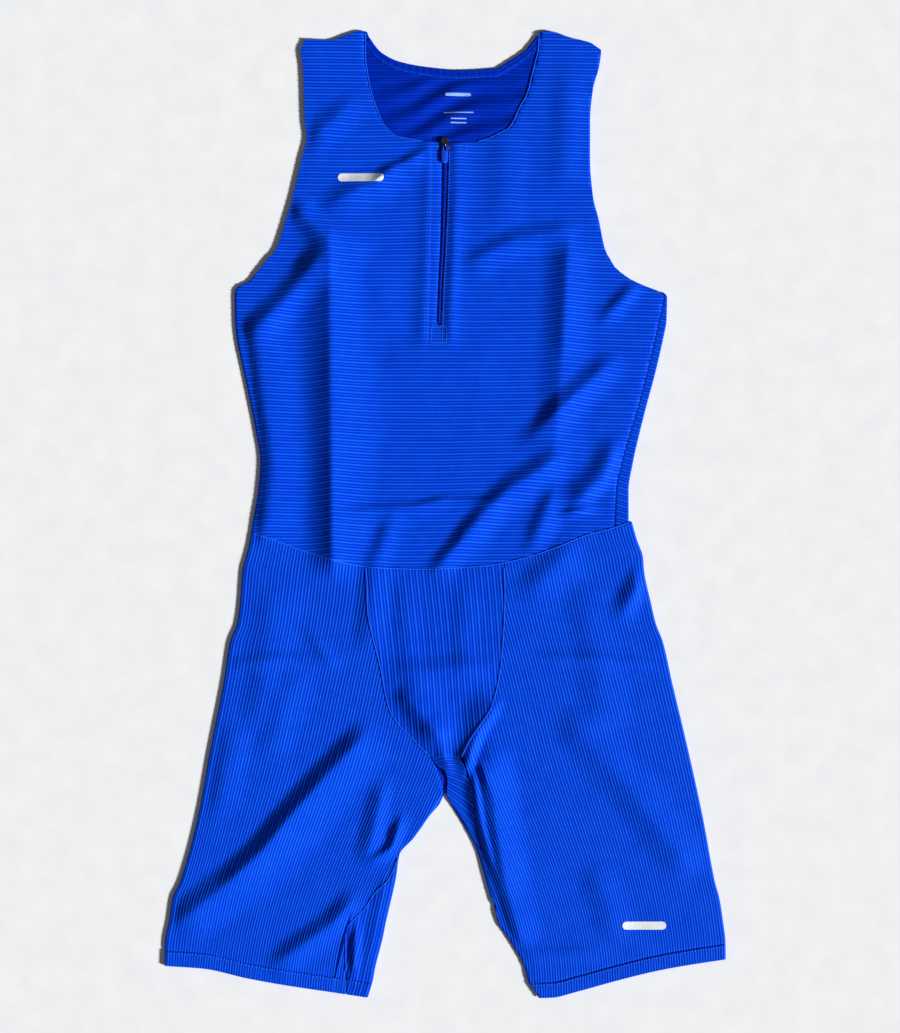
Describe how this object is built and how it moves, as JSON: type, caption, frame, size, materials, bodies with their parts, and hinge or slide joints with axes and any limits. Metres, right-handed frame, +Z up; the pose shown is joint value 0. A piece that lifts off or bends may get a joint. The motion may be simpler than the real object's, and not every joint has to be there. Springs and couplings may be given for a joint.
{
  "type": "running speedsuit",
  "caption": "Sleeveless ribbed running speedsuit with shorts and a short front zip, laid flat face up with soft folds and a swinging zip pull.",
  "frame": {"origin": "middle of the laid garment on the surface it lies on", "axes": "+Z up out of the surface, +Y towards the neck, +X towards the wearer's left"},
  "size_m": [0.5616, 0.9661, 0.0114],
  "materials": {
    "rib_knit": "soft sheen",
    "rib_knit_inside": "matt",
    "zip_tape": "matt",
    "slider_metal": "dark plated",
    "pull_plastic": "satin"
  },
  "bodies": {
    "suit": {"front_torso": "rib_knit", "back_torso": "rib_knit_inside", "back_neck_band": "rib_knit_inside", "front_leg_right": "rib_knit", "front_leg_left": "rib_knit", "front_pouch": "rib_knit", "crotch_gusset": "rib_knit", "inner_thigh_right": "rib_knit", "back_leg_right": "rib_knit_inside", "back_leg_left": "rib_knit_inside", "zip_tape_right": "zip_tape", "zip_tape_left": "zip_tape", "zip_chain": "zip_tape", "zip_slider": "slider_metal"},
    "pull_tab": {"zip_pull_tab": "pull_plastic"}
  },
  "joints": [
    {"name": "pull_tab_swing", "type": "hinge", "parent": "suit", "child": "pull_tab", "pos_m": [0, 0.3689, 0.0057], "axis": [-1, 0, 0], "range_deg": [0, 150]}
  ]
}
